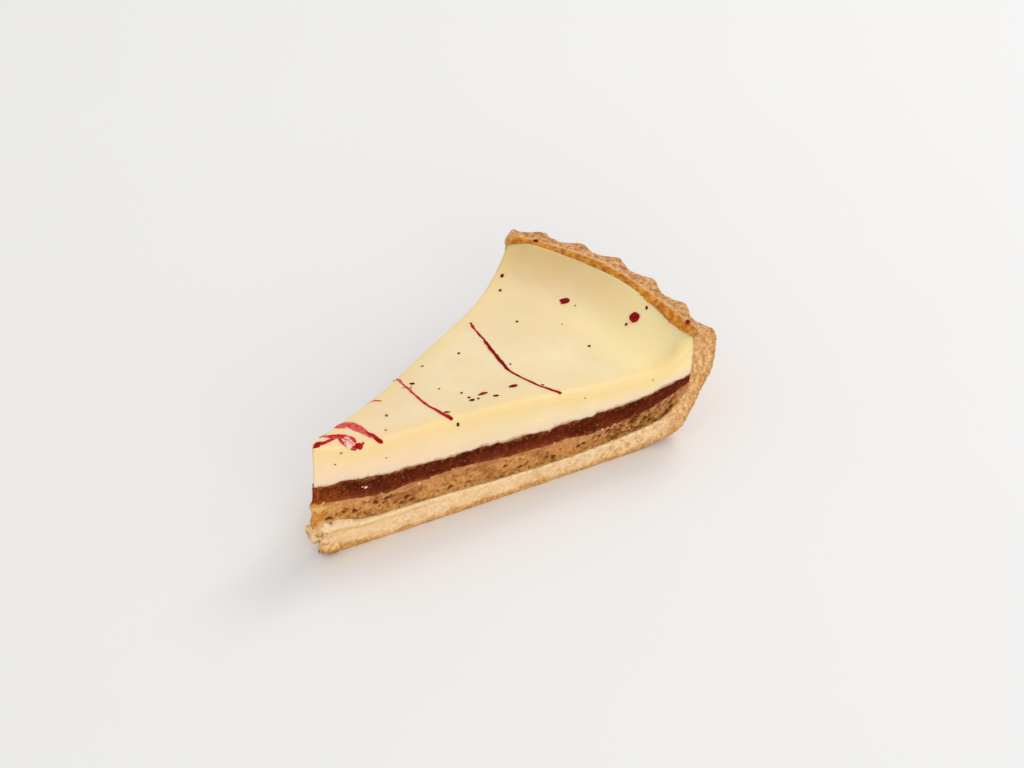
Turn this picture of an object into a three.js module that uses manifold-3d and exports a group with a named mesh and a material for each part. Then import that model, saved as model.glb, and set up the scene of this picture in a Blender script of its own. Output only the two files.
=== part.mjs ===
// One slice of a panna cotta tart: a fluted shortcrust case that holds almond sponge, a dark fruit
// layer and set cream with a raspberry drizzle. Units are millimetres and +Z is up.
//
// The slice is described about the axis of the whole tart: r is the distance from that axis, "side" runs
// from -1 on the near cut to +1 on the far cut, and z is the height above the table.
import * as THREE from "three";
import { mergeVertices } from "three/addons/utils/BufferGeometryUtils.js";
import Module from "manifold-3d";

const wasm = await Module();
wasm.setup();

const { clamp, degToRad, lerp, mapLinear, smoothstep } = THREE.MathUtils;

// ---- driving dimensions ----
const PORTIONS = 10;
const HALF_ANGLE = Math.PI / PORTIONS;
const FLUTES_ROUND_THE_TART = 58;
const FIRST_FLUTE = degToRad(1.8); // azimuth of a flute's crest
const FLUTE_DEPTH = 2.9; // crest to valley, high on the wall
const FLUTE_FOOT_SHARE = 0.5; // share of that depth at the foot
const FLUTE_FULL_HEIGHT = 27; // the flutes have their whole depth from here up
const GAP = 0.3; // between touching pieces
const RIM_RIDGE_RADIUS = 129.7;
const SLICE_CENTRE = { x: 68.28, y: -0.2 }; // middle of the slice's box, from the tart's axis

// Heights at distances from the axis, [r, z], read along the cut faces.
const BASE_TOP = [
  [0, 12.3], [9, 12.3], [16, 10.4], [24, 9.5], [45, 8.4], [61, 7.4], [84, 6.8], [104, 7.6], [117, 9.2],
];
const SPONGE_TOP = [
  [0, 20.8], [14, 18.4], [29, 16.6], [46, 16.4], [78, 14.2], [96, 13.1], [110, 14.1], [126, 19.2],
];
const FRUIT_TOP = [[0, 26.8], [14, 25.0], [29, 22.9], [62, 20.6], [80, 19.4], [112, 19.9], [127, 22.3]];
const CREAM_TOP_NEAR = [
  [0, 41.2], [18, 35.9], [46, 34.8], [67, 33.0], [92, 29.4], [110, 27.4], [118, 28.5], [128, 36.2],
];
const CREAM_TOP_FAR = [
  [0, 41.2], [18, 37.4], [46, 31.9], [76, 28.7], [102, 25.9], [113, 26.9], [119, 29.2], [128, 36.2],
];

// Radii at heights, [z, r]. The inner wall runs straight from one station to the next.
const OUTER_WALL = [
  [0, 107.0], [1.8, 117.5], [4, 122.8], [8.4, 126.0], [16, 130.0], [22, 133.3], [28, 134.6], [38, 134.7],
];
const INNER_WALL = [[9.2, 117.0], [11.2, 119.9], [14, 122.6], [18.6, 125.9], [25, 127.0], [35.6, 127.6]];

// Height of the rim's inner ridge, and how far its outer edge lies below that, [side, mm].
const RIM_RIDGE = [[-1, 37.0], [-0.75, 36.3], [-0.4, 36.7], [0.1, 38.1], [0.5, 37.4], [1, 36.5]];
const RIM_DROP = [[-1, 2.7], [-0.6, 1.3], [-0.1, 0.6], [1, 0.5]];

// ---- smooth curves through a few stations ----
// Cubic between neighbours, with the slopes of their neighbours and no overshoot at the ends.
function through(stations) {
  const slope = stations.map(([x, y], i) => {
    const [x0, y0] = stations[Math.max(i - 1, 0)];
    const [x1, y1] = stations[Math.min(i + 1, stations.length - 1)];
    return (y1 - y0) / (x1 - x0 || 1);
  });
  return (x) => {
    const last = stations.length - 2;
    let i = stations.findIndex(([next]) => next > x) - 1;
    if (i < -1) i = last;
    i = clamp(i, 0, last);
    const [x0, y0] = stations[i];
    const [x1, y1] = stations[i + 1];
    const width = x1 - x0;
    const t = clamp((x - x0) / width, 0, 1);
    const t2 = t * t;
    const t3 = t2 * t;
    return (2 * t3 - 3 * t2 + 1) * y0 + (t3 - 2 * t2 + t) * width * slope[i]
      + (3 * t2 - 2 * t3) * y1 + (t3 - t2) * width * slope[i + 1];
  };
}

const baseTop = through(BASE_TOP);
const spongeTop = through(SPONGE_TOP);
const fruitTop = through(FRUIT_TOP);
const creamTopNear = through(CREAM_TOP_NEAR);
const creamTopFar = through(CREAM_TOP_FAR);
const outerWall = through(OUTER_WALL);
const rimRidge = through(RIM_RIDGE);
const rimDrop = through(RIM_DROP);

function innerWall(z) {
  const next = INNER_WALL.slice(1, -1).findIndex(([height]) => height > z);
  const i = next < 0 ? INNER_WALL.length - 1 : next + 1;
  const [[z0, r0], [z1, r1]] = [INNER_WALL[i - 1], INNER_WALL[i]];
  return mapLinear(z, z0, z1, r0, r1);
}

// A value that runs from the near cut to the far one.
const across = (near, far, side) => lerp(near, far, (side + 1) / 2);
const creamTop = (r, side) => across(creamTopNear(r), creamTopFar(r), side);

// ---- unevenness ----
// Smooth noise between -1 and 1 over three coordinates, always the same for the same place.
function lattice(i, j, k) {
  const s = Math.sin(i * 127.1 + j * 311.7 + k * 74.7) * 43758.5453;
  return 2 * (s - Math.floor(s)) - 1;
}

function noise(x, y, z) {
  const [i, j, k] = [x, y, z].map(Math.floor);
  const [u, v, w] = [x - i, y - j, z - k].map((t) => t * t * (3 - 2 * t));
  const edge = (dj, dk) => lerp(lattice(i, j + dj, k + dk), lattice(i + 1, j + dj, k + dk), u);
  return lerp(lerp(edge(0, 0), edge(1, 0), v), lerp(edge(0, 1), edge(1, 1), v), w);
}

// ---- closed solids from rings of points ----
// Every ring holds as many points, in order round the section. The first and last ring are closed by caps,
// whose triangles run the same way round as the ring.
function ringSolid(rings, capTriangles) {
  const size = rings[0].length;
  const positions = rings.flat().flatMap((p) => [p.x, p.y, p.z]);
  const index = [];
  for (let j = 0; j < rings.length - 1; j += 1) {
    for (let k = 0; k < size; k += 1) {
      const a = j * size + k;
      const b = j * size + ((k + 1) % size);
      index.push(a, a + size, b + size, a, b + size, b);
    }
  }
  const last = (rings.length - 1) * size;
  for (const [a, b, c] of capTriangles(rings[0])) index.push(a, b, c);
  for (const [a, b, c] of capTriangles(rings.at(-1))) index.push(last + a, last + c, last + b);
  const geometry = new THREE.BufferGeometry();
  geometry.setAttribute("position", new THREE.Float32BufferAttribute(positions, 3));
  geometry.setIndex(index);
  return geometry;
}

// Cap of a slice's section, which may bend in and out.
function sectionCap(ring) {
  const flat = ring.map((p) => new THREE.Vector2(Math.hypot(p.x, p.y), p.z));
  const turns = (corners) => Math.sign(THREE.ShapeUtils.area(corners));
  const way = turns(flat);
  return THREE.ShapeUtils.triangulateShape(flat, [])
    .map(([a, b, c]) => (turns([flat[a], flat[b], flat[c]]) === way ? [a, b, c] : [a, c, b]));
}

// Cap of a convex section.
const fanCap = (ring) => span(ring.length - 3).map((_, i) => [0, i + 1, i + 2]);

const polar = (r, azimuth, z) => new THREE.Vector3(r * Math.cos(azimuth), r * Math.sin(azimuth), z);
const span = (count) => Array.from({ length: count + 1 }, (_, i) => i / count);

function toManifold(geometry) {
  const bare = geometry.clone();
  bare.deleteAttribute("normal");
  bare.deleteAttribute("uv");
  const merged = mergeVertices(bare, 1e-4);
  const mesh = new wasm.Mesh({
    numProp: 3,
    vertProperties: new Float32Array(merged.attributes.position.array),
    triVerts: new Uint32Array(merged.index.array),
  });
  return new wasm.Manifold(mesh);
}

function fuse(body, extras) {
  const joined = extras.reduce((sum, extra) => sum.add(toManifold(extra)), toManifold(body));
  const mesh = joined.getMesh();
  const geometry = new THREE.BufferGeometry();
  geometry.setAttribute("position", new THREE.BufferAttribute(new Float32Array(mesh.vertProperties), 3));
  geometry.setIndex(new THREE.BufferAttribute(new Uint32Array(mesh.triVerts), 1));
  return geometry;
}

// ---- shortcrust case: base, fluted wall and rim in one ring for each azimuth ----
const FLUTE_STEPS = 6; // azimuth steps to a flute
const FLUTE_ROUNDNESS = 0.14; // share of a second wave that makes the crests round and the valleys narrow
const BASE_STEPS = 12; // steps along the base
const WALL_STEPS = 9; // steps up the wall, closest at its foot
const RIM_STEPS = [0.16, 0.55, 1]; // shares of the way from the rim's outer edge to its ridge
const TIP = { near: 4.8, middle: 4.4, far: 3.6 }; // radius at which the blunt pastry tip starts
const TIP_NOSE = 1.2; // how far its middle stands out past that
const TIP_UNDERCUT = 1.6; // how far its foot is drawn back
const UNDERCUT = { cut: 0.7, tip: 0.7, reach: 30 }; // how far the cut faces lean in at the table
const PROUD = 0.35; // the pastry's cut faces stand this far out from the filling's
// Broken ledge beside the tip: its widths, how far it runs and how far its top falls for each mm of width.
const LEDGE = { near: 1.1, far: 3.0, reach: 13, fall: 1.2 };
const LUMPS = { height: 0.35, per_mm: 0.7 }; // roughness of the rim's top
const CRUMBLE = { reach: 16, sideways: 1.1, down: 0.7, per_mm: 0.4 }; // roughness of the broken tip

function fluteWave(azimuth) {
  const phase = (azimuth - FIRST_FLUTE) * FLUTES_ROUND_THE_TART;
  return (Math.cos(phase) + FLUTE_ROUNDNESS * Math.cos(2 * phase)) / (1 + FLUTE_ROUNDNESS);
}

function fluteReach(azimuth, z) {
  const share = lerp(FLUTE_FOOT_SHARE, 1, smoothstep(z, 0, FLUTE_FULL_HEIGHT));
  return (FLUTE_DEPTH / 2) * share * fluteWave(azimuth);
}

// "proudSide" is -1 or 1 on the two outermost rings, which make the cut faces, and 0 between them.
function caseRing(side, proudSide) {
  const azimuth = side * HALF_ANGLE;
  const tip = lerp(TIP.middle, side < 0 ? TIP.near : TIP.far, side * side);
  const outward = new THREE.Vector3(-Math.sin(azimuth), Math.cos(azimuth), 0).multiplyScalar(proudSide);
  const ring = [];
  const add = (r, z, ledge = 0) => ring.push(polar(r, azimuth, z).addScaledVector(outward, PROUD + ledge));

  const foot = outerWall(0) + fluteReach(azimuth, 0);
  for (const t of span(BASE_STEPS)) add(lerp(tip + TIP_UNDERCUT, foot, t), 0);

  const ridge = rimRidge(side);
  const drop = rimDrop(side);
  for (const t of span(WALL_STEPS).slice(1)) {
    const z = (ridge - drop) * t ** 2;
    add(outerWall(z) + fluteReach(azimuth, z), z);
  }
  const crest = outerWall(ridge) + fluteReach(azimuth, ridge);
  for (const t of RIM_STEPS) {
    const r = lerp(crest, RIM_RIDGE_RADIUS, t);
    const lump = LUMPS.height * noise(r * LUMPS.per_mm, azimuth * r * LUMPS.per_mm, 0);
    add(r, ridge - drop * (1 - t) ** 1.5 + lump);
  }

  for (const [z, r] of INNER_WALL.toReversed()) add(r, z);
  const ledgeAt = (r) => (proudSide < 0 ? LEDGE.near : LEDGE.far) * Math.exp(-((r / LEDGE.reach) ** 2));
  for (const t of span(BASE_STEPS).slice(1)) {
    const r = lerp(INNER_WALL[0][1], tip, t);
    add(r, baseTop(r) - (proudSide === 0 ? 0 : LEDGE.fall * ledgeAt(r)), ledgeAt(r));
  }
  const nose = tip - TIP_NOSE;
  add(nose, baseTop(tip) / 2, ledgeAt(nose));
  return ring;
}

// The table side is narrower than the slice, and flat.
function tuckFoot(p) {
  const r = Math.hypot(p.x, p.y);
  const inward = UNDERCUT.cut + UNDERCUT.tip * Math.exp(-((r / UNDERCUT.reach) ** 2));
  p.y *= 1 - inward / (r * Math.sin(HALF_ANGLE) + PROUD);
}

// Lumps on the pastry that broke at the tip.
function crumble(p) {
  const broken = Math.exp(-((Math.hypot(p.x, p.y) / CRUMBLE.reach) ** 2));
  const [u, v, w] = p.toArray().map((value) => value * CRUMBLE.per_mm);
  p.x += CRUMBLE.sideways * broken * noise(u, v, w);
  p.y += CRUMBLE.sideways * broken * noise(v, w, u);
  p.z -= CRUMBLE.down * broken * Math.abs(noise(w, u, v));
}

function caseSolid() {
  const steps = Math.round((FLUTES_ROUND_THE_TART / PORTIONS) * FLUTE_STEPS);
  const rings = [caseRing(-1, -1), ...span(steps).map((t) => caseRing(2 * t - 1, 0)), caseRing(1, 1)];
  for (const p of rings.flat()) (p.z === 0 ? tuckFoot : crumble)(p);
  return ringSolid(rings, sectionCap);
}

// ---- layers of filling between two heights, out to the crust ----
const LAYER_STEPS = { outward: 20, across: 8 };
const FILLING_TIP = [[11, 0.5], [19, 0.8], [26.5, 2.2], [41, 3.0]]; // [z, r] at the near cut
const TIP_SLANT = 1.3; // how much further back the tip lies at the far cut
const SETTLING_PASSES = 20; // enough to find where a sloping layer meets the sloping wall

const fillingTip = through(FILLING_TIP);

function layerSolid(floorAt, ceilingAt) {
  const rings = span(LAYER_STEPS.across).map((share) => {
    const side = 2 * share - 1;
    const azimuth = side * HALF_ANGLE;
    const tipAt = (heightAt) => fillingTip(heightAt(0, side)) + across(0, TIP_SLANT, side);
    const edgeAt = (heightAt) => {
      let r = INNER_WALL.at(-1)[1];
      for (let pass = 0; pass < SETTLING_PASSES; pass += 1) r = innerWall(heightAt(r, side)) - GAP;
      return r;
    };
    const [low, high] = [edgeAt(floorAt), edgeAt(ceilingAt)];
    const [lowest, highest] = [floorAt(low, side), ceilingAt(high, side)];
    const steps = span(LAYER_STEPS.outward);
    const floor = steps.map((t) => lerp(tipAt(floorAt), low, t))
      .map((r) => polar(r, azimuth, floorAt(r, side)));
    const wall = INNER_WALL.filter(([z]) => z > lowest && z < highest)
      .map(([z, r]) => polar(r - GAP, azimuth, z));
    const ceiling = steps.map((t) => lerp(high, tipAt(ceilingAt), t))
      .map((r) => polar(r, azimuth, ceilingAt(r, side)));
    return [...floor, ...wall, ...ceiling];
  });
  return ringSolid(rings, sectionCap);
}

// ---- toppings fused to what they lie on ----
const STROKE_SECTION = [[-1, -0.6], [1, -0.6], [0.8, 0.55], [0, 1], [-0.8, 0.55]]; // across, up
const STROKE_STEP = 2.2; // length of a stroke between sections
const STROKE_END = 0.45; // share of its width and height that a stroke has at its ends

// A raised line of drizzle through places [x, y], tapering to both ends.
function stroke({ route, width, height }) {
  const path = new THREE.CatmullRomCurve3(route.map(([x, y]) => new THREE.Vector3(x, y, 0)));
  const steps = Math.max(3, Math.round(path.getLength() / STROKE_STEP));
  const rings = span(steps).map((t) => {
    const at = path.getPointAt(t);
    const ahead = path.getTangentAt(t);
    const swell = lerp(STROKE_END, 1, Math.sin(Math.PI * t) ** 0.6);
    return STROKE_SECTION.map(([aside, up]) => {
      const x = at.x + ahead.y * aside * (width / 2) * swell;
      const y = at.y - ahead.x * aside * (width / 2) * swell;
      return new THREE.Vector3(x, y, surfaceOfCream(x, y) + up * height * swell);
    });
  });
  return ringSolid(rings, fanCap);
}

function surfaceOfCream(x, y) {
  return creamTop(Math.hypot(x, y), Math.atan2(y, x) / HALF_ANGLE);
}

// A dried raspberry bit: an angular lump, half sunk.
function bit({ x, y, z, size, turn = 0 }) {
  const [length, width, height] = size;
  return new THREE.IcosahedronGeometry(0.5, 0)
    .scale(length, width, height)
    .rotateZ(degToRad(turn))
    .translate(x, y, z ?? surfaceOfCream(x, y));
}

const STROKES = [
  {
    route: [[89.5, 24.3], [84, 12], [79, 0], [76.8, -10], [77.8, -19], [79, -24]],
    width: 1.5,
    height: 0.7,
  },
  { route: [[50.3, 14.8], [48, 6], [45.8, -2], [44.4, -13]], width: 1.2, height: 0.55 },
  { route: [[18, 5], [21, 3.2], [22.6, -1.5], [23.2, -6.8]], width: 2.6, height: 0.6 },
  { route: [[9.6, 2.3], [13.6, 1.9], [17, -0.4]], width: 1.4, height: 0.5 },
];
const SWIRL = { route: [[14.6, -1.0], [15.8, -2.6], [16.8, -3.6]], width: 3.4, height: 1.1 };

const CREAM_BITS = [
  { x: 117, y: 10.2, size: [3.4, 2.6, 1.6], turn: 20 },
  { x: 122.1, y: -14.5, size: [3.4, 3.2, 1.8], turn: 50 },
  { x: 61.6, y: -9.7, size: [1.3, 3.0, 1.2], turn: -50 },
  { x: 71.3, y: -12.5, size: [1.2, 2.4, 1.1], turn: -45 },
];
const RIM_BITS = [{ degrees: 13.7, turn: 30 }, { degrees: -14.9, turn: 70 }].map(({ degrees, turn }) => {
  const azimuth = degToRad(degrees);
  const { x, y, z } = polar(RIM_RIDGE_RADIUS, azimuth, rimRidge(azimuth / HALF_ANGLE));
  return { x, y, z, size: [2.2, 1.5, 1.4], turn };
});

// ---- the slice ----
function piece(name, geometry, color, roughness) {
  const faceted = geometry.toNonIndexed();
  faceted.computeVertexNormals();
  const mesh = new THREE.Mesh(faceted, new THREE.MeshStandardMaterial({ color, roughness, metalness: 0 }));
  mesh.name = name;
  return mesh;
}

const above = (heightAt) => (r) => heightAt(r) + GAP;
const creamToppings = [...STROKES.map(stroke), stroke(SWIRL), ...CREAM_BITS.map(bit)];

const slice = new THREE.Group();
slice.add(
  piece("pastry_case", fuse(caseSolid(), RIM_BITS.map(bit)), 0xd9a866, 0.9),
  piece("almond_sponge", layerSolid(above(baseTop), spongeTop), 0xb07a4a, 0.95),
  piece("fruit_layer", layerSolid(above(spongeTop), fruitTop), 0x5c2420, 0.6),
  piece("panna_cotta", fuse(layerSolid(above(fruitTop), creamTop), creamToppings), 0xf3e2b0, 0.45),
);
slice.position.set(-SLICE_CENTRE.x, -SLICE_CENTRE.y, 0);

export default slice;
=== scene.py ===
"""Looks of one slice of a panna cotta tart: shortcrust, almond sponge, dark fruit and set cream."""
import math

import bmesh
import bpy
import numpy as np
from mathutils import Euler, Matrix, Vector


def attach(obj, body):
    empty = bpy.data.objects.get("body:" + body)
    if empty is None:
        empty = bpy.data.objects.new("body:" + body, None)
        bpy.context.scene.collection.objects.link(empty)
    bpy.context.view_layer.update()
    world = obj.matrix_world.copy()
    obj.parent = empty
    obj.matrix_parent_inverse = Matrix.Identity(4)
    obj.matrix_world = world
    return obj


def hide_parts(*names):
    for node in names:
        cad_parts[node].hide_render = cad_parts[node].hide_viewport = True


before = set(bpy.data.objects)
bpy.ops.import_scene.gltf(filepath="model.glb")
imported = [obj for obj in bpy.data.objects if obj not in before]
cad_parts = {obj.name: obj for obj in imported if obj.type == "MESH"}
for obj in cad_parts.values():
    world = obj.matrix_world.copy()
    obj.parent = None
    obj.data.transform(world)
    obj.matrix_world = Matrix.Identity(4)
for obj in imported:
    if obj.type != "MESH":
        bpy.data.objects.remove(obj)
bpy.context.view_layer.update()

MM = 0.001


def through(stations):
    """Smooth curve through [x, y] stations, with the slopes of their neighbours."""
    x, y = np.array(stations, float).T
    slope = np.empty_like(x)
    slope[1:-1] = (y[2:] - y[:-2]) / (x[2:] - x[:-2])
    slope[0] = (y[1] - y[0]) / (x[1] - x[0])
    slope[-1] = (y[-1] - y[-2]) / (x[-1] - x[-2])

    def value(at):
        at = np.clip(at, x[0], x[-1])
        i = np.clip(np.searchsorted(x, at, side="right") - 1, 0, len(x) - 2)
        width = x[i + 1] - x[i]
        t = (at - x[i]) / width
        return (
            (2 * t**3 - 3 * t**2 + 1) * y[i]
            + (t**3 - 2 * t**2 + t) * width * slope[i]
            + (3 * t**2 - 2 * t**3) * y[i + 1]
            + (t**3 - t**2) * width * slope[i + 1]
        )

    return value


# ---- shape of the slice, in mm about the axis of the whole tart ----
# r is the distance from that axis, "side" runs from -1 on the near cut to 1 on the far cut.
HALF_ANGLE = math.pi / 10
SLICE_CENTRE = np.array([68.28, -0.2, 0.0])
FLUTES_ROUND_THE_TART = 58
FIRST_FLUTE = math.radians(1.8)
FLUTE_DEPTH = 2.9
FLUTE_FOOT_SHARE = 0.5  # of that depth, at the foot of the wall
FLUTE_FULL_HEIGHT = 27
FLUTE_ROUNDNESS = 0.14
RIM_RIDGE_RADIUS = 129.7
RIM_HALF_WIDTH = 42  # from the middle of the rim to a cut
TIP = (4.8, 4.4, 3.6)  # radius of the crust's tip at the near cut, in the middle and at the far cut
# Where the crust's broken tip is short or long of that, [share of the base's thickness, mm].
tip_profile = through([
    [0, 1.5], [0.12, 0.2], [0.33, 0.0], [0.45, 1.3], [0.58, -1.2], [0.75, -1.7], [0.9, -0.8], [1, 0],
])
PROUD = 0.35  # how far the crust's cut stands out from the fillings
# The foot of that cut lies back: by how much, by how much more at the tip, and over what distance.
UNDERCUT, UNDERCUT_TIP, UNDERCUT_REACH = 0.7, 0.7, 30
UNDERCUT_STARTS, UNDERCUT_FULL = 124, 106  # distances from the axis
# At the tip the base's upper edge stands out further and droops, here at the near and the far cut.
LEDGE, LEDGE_REACH, LEDGE_FALL = (1.2, 3.0), (22, 13), 1.2

# Heights at distances from the axis, [r, z].
base_top = through([
    [0, 12.3], [9, 12.3], [16, 10.4], [24, 9.5], [45, 8.4], [61, 7.4], [84, 6.8], [104, 7.6], [117, 9.2],
])
sponge_top = through([
    [0, 20.8], [14, 18.4], [29, 16.6], [46, 16.4], [78, 14.2], [96, 13.1], [110, 14.1], [126, 19.2],
])
fruit_top = through([[0, 26.8], [14, 25.0], [29, 22.9], [62, 20.6], [80, 19.4], [112, 19.9], [127, 22.3]])
cream_top_near = through([
    [0, 41.2], [18, 35.9], [46, 34.8], [67, 33.0], [92, 29.4], [110, 27.4], [118, 28.5], [128, 36.2],
])
cream_top_far = through([
    [0, 41.2], [18, 37.4], [46, 31.9], [76, 28.7], [102, 25.9], [113, 26.9], [119, 29.2], [128, 36.2],
])
# Radii at heights, [z, r].
outer_wall = through([
    [0, 107.0], [1.8, 117.5], [4, 122.8], [8.4, 126.0], [16, 130.0], [22, 133.3], [28, 134.6], [38, 134.7],
])
INNER_WALL = [[9.2, 117.0], [11.2, 119.9], [14, 122.6], [18.6, 125.9], [25, 127.0], [35.6, 127.6]]
# Height of the rim's ridge, the fall to its outer edge, and how far the cream sags beside it, [side, mm].
rim_ridge = through([[-1, 37.0], [-0.75, 36.3], [-0.4, 36.7], [0.1, 38.1], [0.5, 37.4], [1, 36.5]])
rim_drop = through([[-1, 2.7], [-0.6, 1.3], [-0.1, 0.6], [1, 0.5]])
cream_sag = through([
    [-1, 0.1], [-0.9, 1.2], [-0.75, 2.1], [-0.6, 1.9], [-0.43, 0.9], [-0.14, -0.4], [0.12, -0.6], [0.5, -0.4],
    [0.78, -0.3], [0.9, 0.7], [1, 2.0],
])
SAG_STARTS, SAG_FULL = 116, 127.5  # distances from the axis
filling_tip = through([[11, 0.5], [19, 0.8], [26.5, 2.2], [41, 3.0]])  # [z, r]
TIP_SLANT = 1.3  # by which the fillings' tip lies further back at the far cut


def lerp(a, b, t):
    return a + (b - a) * t


def smoothstep(x, low, high):
    t = np.clip((x - low) / (high - low), 0, 1)
    return t * t * (3 - 2 * t)


def bell(x, middle, width):
    return np.exp(-(((x - middle) / width) ** 2))


def inner_wall(z):
    heights, radii = np.array(INNER_WALL).T
    return np.interp(z, heights, radii)


def flute_reach(azimuth, z):
    phase = (azimuth - FIRST_FLUTE) * FLUTES_ROUND_THE_TART
    wave = (np.cos(phase) + FLUTE_ROUNDNESS * np.cos(2 * phase)) / (1 + FLUTE_ROUNDNESS)
    return FLUTE_DEPTH / 2 * lerp(FLUTE_FOOT_SHARE, 1, smoothstep(z, 0, FLUTE_FULL_HEIGHT)) * wave


def polar(r, azimuth, z):
    return np.stack([r * np.cos(azimuth), r * np.sin(azimuth), z], axis=-1)


# ---- unevenness ----
def draw(cells, seed):
    """A fixed draw from 0 to 1 for each whole-numbered place."""
    i, j, k = np.moveaxis(cells.astype(np.int64), -1, 0)
    h = (i * 73856093) ^ (j * 19349663) ^ (k * 83492791) ^ (seed * 39916801)
    h = ((h ^ (h >> 13)) * 1274126177) & 0x7FFFFFFF
    h = ((h ^ (h >> 15)) * 668265263) & 0x7FFFFFFF
    return ((h ^ (h >> 16)) & 0xFFFF) / 0xFFFF


def noise(points, grain, seed=0):
    """Smooth noise from -1 to 1, with lumps about "grain" mm across."""
    scaled = points / grain
    whole = np.floor(scaled)
    t = scaled - whole
    t = t * t * (3 - 2 * t)
    total = np.zeros(points.shape[:-1])
    for corner in np.ndindex(2, 2, 2):
        share = np.prod(np.where(corner, t, 1 - t), axis=-1)
        total += share * (2 * draw(whole + corner, seed) - 1)
    return total


def rough(points, grain, octaves=3, seed=0):
    """Noise with finer noise on it."""
    return sum(noise(points, grain / 2**n, seed + n) / 2**n for n in range(octaves))


def cream_top(r, side):
    even = lerp(cream_top_near(r), cream_top_far(r), (side + 1) / 2)
    along_rim = np.stack([RIM_HALF_WIDTH * side, 0 * side, 0 * side], axis=-1)
    ragged = 0.08 * rough(along_rim, 5, 2, 76)
    return even - (cream_sag(side) + ragged) * smoothstep(r, SAG_STARTS, SAG_FULL)


def nearest_grain(points, grain, seed=0):
    """Distance to the nearest of scattered seeds about "grain" apart, in grains."""
    scaled = points / grain
    whole = np.floor(scaled)
    nearest = np.full(len(points), 9.0)
    for offset in np.ndindex(3, 3, 3):
        cell = whole + np.array(offset) - 1
        seeds = cell + np.stack([draw(cell, seed + n) for n in range(3)], axis=-1)
        nearest = np.minimum(nearest, np.linalg.norm(scaled - seeds, axis=1))
    return nearest


# ---- meshes ----
STRIDE = 10  # cells across that are joined where nothing shows


def shell(cells, hidden_floor, hidden_ceiling):
    """Surface of a box of cells: the places [i, j, k] of its corners, and faces over them.

    hidden_floor and hidden_ceiling are ranges of columns i whose cells are joined across, STRIDE at a time.
    """
    nu, nv, nw = cells

    def at(i, j, k):
        return (i * (nv + 1) + j) * (nw + 1) + k

    faces = []
    for k, hidden, way in ((0, hidden_floor, -1), (nw, hidden_ceiling, 1)):
        for i in range(nu):
            if i not in hidden:
                for j in range(nv):
                    faces.append([at(i, j, k), at(i + 1, j, k), at(i + 1, j + 1, k), at(i, j + 1, k)][::way])
                continue
            fine_before = i - 1 not in hidden
            fine_after = i + 1 not in hidden
            for j in range(0, nv, STRIDE):
                end = min(j + STRIDE, nv)
                after = range(j, end + 1) if fine_after else (j, end)
                before = range(end, j - 1, -1) if fine_before else (end, j)
                faces.append(([at(i + 1, n, k) for n in after] + [at(i, n, k) for n in before])[::way])
    faces += [
        [at(i, j, k), at(i + 1, j, k), at(i + 1, j, k + 1), at(i, j, k + 1)][::way]
        for j, way in ((0, 1), (nv, -1)) for i in range(nu) for k in range(nw)
    ]
    faces += [
        [at(i, j, k), at(i, j + 1, k), at(i, j + 1, k + 1), at(i, j, k + 1)][::way]
        for i, way in ((0, -1), (nu, 1)) for j in range(nv) for k in range(nw)
    ]
    used = sorted({corner for face in faces for corner in face})
    number = {corner: n for n, corner in enumerate(used)}
    places = np.stack(np.unravel_index(used, (nu + 1, nv + 1, nw + 1)), axis=-1)
    return places, [[number[corner] for corner in face] for face in faces]


def new_mesh(name, points, faces):
    mesh = bpy.data.meshes.new(name)
    mesh.from_pydata(points.tolist(), [], faces)
    mesh.validate()
    mesh.shade_smooth()
    return mesh


def read(mesh, name):
    """The vertices' "co" or "normal", one row each."""
    values = np.empty(len(mesh.vertices) * 3)
    mesh.vertices.foreach_get(name, values)
    return values.reshape(-1, 3)


def put(mesh, points):
    mesh.vertices.foreach_set("co", points.ravel())
    mesh.update()


def swell(mesh, amounts):
    """Moves the surface outward by so many mm at each vertex."""
    put(mesh, read(mesh, "co") + read(mesh, "normal") * amounts[:, None])


def soften(mesh, shares, passes):
    """Draws each vertex towards the middle of its neighbours."""
    ends = np.empty(len(mesh.edges) * 2, int)
    mesh.edges.foreach_get("vertices", ends)
    a, b = ends.reshape(-1, 2).T
    size = len(mesh.vertices)
    neighbours = np.bincount(a, minlength=size) + np.bincount(b, minlength=size)
    points = read(mesh, "co")
    for _ in range(passes):
        sums = np.stack([
            np.bincount(a, points[b, n], size) + np.bincount(b, points[a, n], size) for n in range(3)
        ], axis=-1)
        points += (sums / neighbours[:, None] - points) * shares[:, None]
    put(mesh, points)


def stand_out(points, azimuth, reach):
    """Moves points on the cut faces by so many mm round the axis."""
    points[:, 0] -= np.sin(azimuth) * reach
    points[:, 1] += np.cos(azimuth) * reach


def mark(mesh, **values):
    """Keeps a number for each vertex, which its material reads by name."""
    for name, numbers in values.items():
        attribute = mesh.attributes.new(name, "FLOAT", "POINT")
        attribute.data.foreach_set("value", np.asarray(numbers, np.float32))


def bring_in(name, data):
    """Puts a mesh, light or camera into the scene."""
    thing = bpy.data.objects.new(name, data)
    bpy.context.scene.collection.objects.link(thing)
    return thing


def add_piece(name, mesh, material, replaced=()):
    """Brings a finished mesh in mm into the scene as a piece of the slice."""
    put(mesh, (read(mesh, "co") - SLICE_CENTRE) * MM)
    mesh.materials.append(material)
    piece = bring_in(name, mesh)
    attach(piece, "root")
    if replaced:
        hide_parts(*replaced)


# ---- procedural paint ----
def srgb(channels):
    """Linear colour of an 8-bit one."""
    shares = np.array(channels) / 255
    return (*np.where(shares <= 0.04045, shares / 12.92, ((shares + 0.055) / 1.055) ** 2.4), 1.0)


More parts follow.
